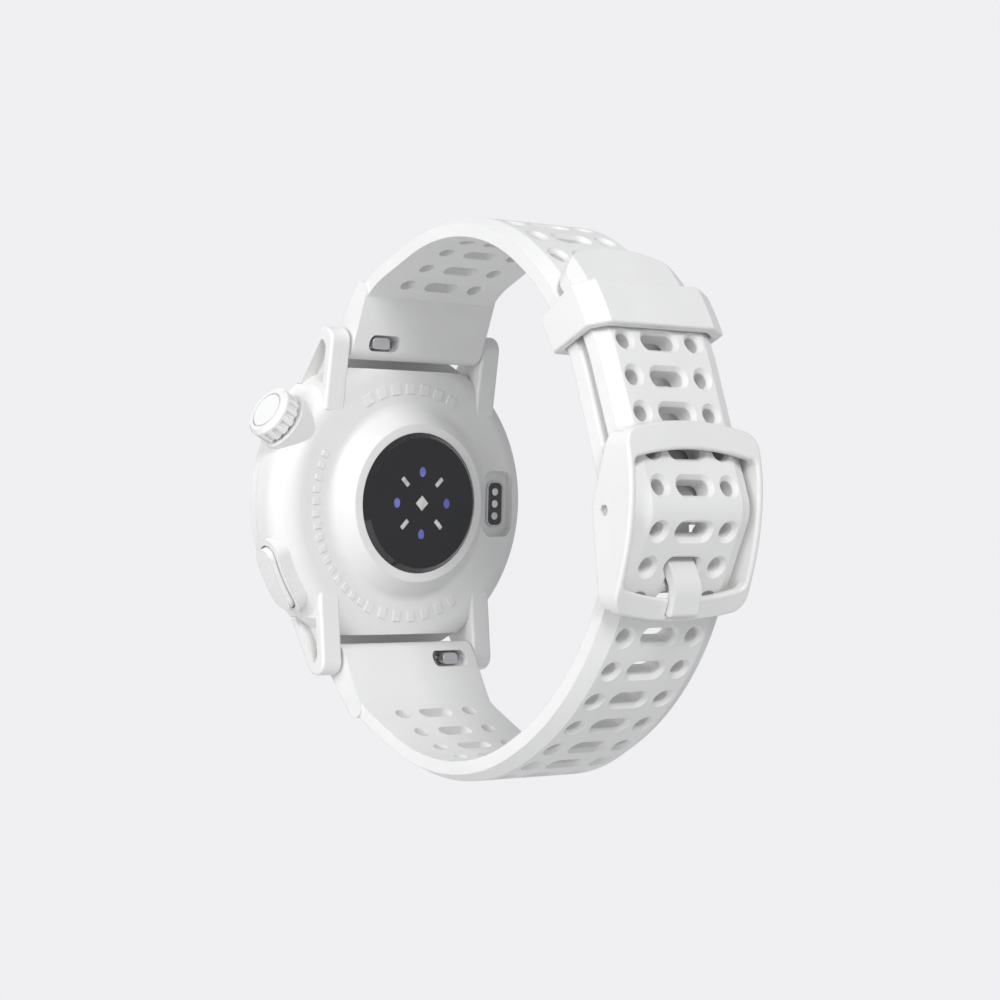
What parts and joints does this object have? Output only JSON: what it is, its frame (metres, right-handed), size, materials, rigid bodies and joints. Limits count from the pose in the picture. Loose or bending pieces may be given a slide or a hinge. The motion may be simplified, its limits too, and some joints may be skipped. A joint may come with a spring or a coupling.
{
  "type": "gps running watch",
  "caption": "Round sports watch with crown, side button, optical wrist sensor and perforated silicone strap, fastened into a loop.",
  "frame": {"origin": "centre of the display glass's outer face", "axes": "+Y out of the display, +Z towards 12 o'clock, -X towards 3 o'clock, where the crown and button are"},
  "size_m": [0.0436, 0.0636, 0.0709],
  "materials": {
    "case_polymer": "white fibre reinforced polymer, satin",
    "bezel_polymer": "white polymer, satin",
    "control_polymer": "white polymer, satin, worn smooth on the edges",
    "cover_glass": "dark mineral glass, polished",
    "display": "dark reflective liquid crystal panel",
    "seal_rubber": "black sealing rubber",
    "inner_polymer": "grey engineering polymer",
    "circuit_board": "green solder mask",
    "antenna_metal": "plated antenna ring",
    "battery_pouch": "foil pouch",
    "steel": "stainless steel",
    "dark_polymer": "dark grey polymer",
    "vent_membrane": "white vent membrane",
    "sensor_black": "black polished window",
    "led_violet": "violet blue light pipe",
    "sensor_white": "clear white light pipe",
    "port_trim": "light grey trim",
    "strap_silicone": "white silicone, dry matte",
    "buckle_polymer": "white polymer, satin"
  },
  "bodies": {
    "watch": {"case_body": "case_polymer", "bezel_ring": "bezel_polymer", "front_glass": "cover_glass", "display_module": "display", "glass_seal": "seal_rubber", "crown_seal": "seal_rubber", "button_seal": "seal_rubber", "inner_frame": "inner_polymer", "main_board": "circuit_board", "sensor_board": "circuit_board", "antenna_ring": "antenna_metal", "battery": "battery_pouch", "shield_can": "steel", "frame_screws": "steel", "charge_pins": "steel", "vibration_motor": "steel", "upper_bar_tube": "steel", "upper_bar_fixed_tip": "steel", "upper_bar_spring": "steel", "lower_bar_tube": "steel", "lower_bar_fixed_tip": "steel", "lower_bar_spring": "steel", "buzzer": "dark_polymer", "crown_switch": "dark_polymer", "button_switch": "dark_polymer", "charge_block": "dark_polymer", "pressure_vent": "vent_membrane", "sensor_window": "sensor_black", "sensor_leds": "led_violet", "sensor_photodiodes": "sensor_white", "sensor_emitter": "sensor_white", "charge_ring": "port_trim", "short_strap": "strap_silicone", "long_strap": "strap_silicone"},
    "crown_carrier": {"crown_collar": "inner_polymer"},
    "crown": {"crown_cap": "control_polymer", "crown_stem": "steel"},
    "button": {"button_cap": "control_polymer", "button_stem": "steel"},
    "upper_lever": {"upper_bar_slider": "steel"},
    "lower_lever": {"lower_bar_slider": "steel"},
    "buckle": {"buckle_frame": "buckle_polymer", "buckle_pin": "steel"},
    "tongue": {"buckle_tongue": "buckle_polymer"},
    "keeper": {"strap_keeper": "strap_silicone"}
  },
  "joints": [
    {"name": "crown_press", "type": "slide", "parent": "watch", "child": "crown_carrier", "axis": [0.8746, 0, -0.4848], "range_m": [0, 0.00035], "stiffness_N_per_m": 3000},
    {"name": "crown_turn", "type": "hinge", "parent": "crown_carrier", "child": "crown", "pos_m": [0, -0.0042, 0], "axis": [-0.8746, 0, 0.4848], "continuous": true},
    {"name": "button_press", "type": "slide", "parent": "watch", "child": "button", "axis": [0.8788, 0, 0.4772], "range_m": [0, 0.0004], "stiffness_N_per_m": 3000},
    {"name": "upper_lever_pull", "type": "slide", "parent": "watch", "child": "upper_lever", "axis": [1, 0, 0], "range_m": [0, 0.0012], "stiffness_N_per_m": 400},
    {"name": "lower_lever_pull", "type": "slide", "parent": "watch", "child": "lower_lever", "axis": [-1, 0, 0], "range_m": [0, 0.0012], "stiffness_N_per_m": 400},
    {"name": "buckle_swing", "type": "hinge", "parent": "watch", "child": "buckle", "pos_m": [0, -0.059, 0.0005], "axis": [1, 0, 0], "range_deg": [-1.5, 1.5]},
    {"name": "tongue_lift", "type": "hinge", "parent": "buckle", "child": "tongue", "pos_m": [0, -0.059, 0.0005], "axis": [1, 0, 0], "range_deg": [-4, 0]},
    {"name": "keeper_slide", "type": "hinge", "parent": "watch", "child": "keeper", "pos_m": [0, -0.0241, 0.0058], "axis": [1, 0, 0], "range_deg": [-3, 3]}
  ]
}
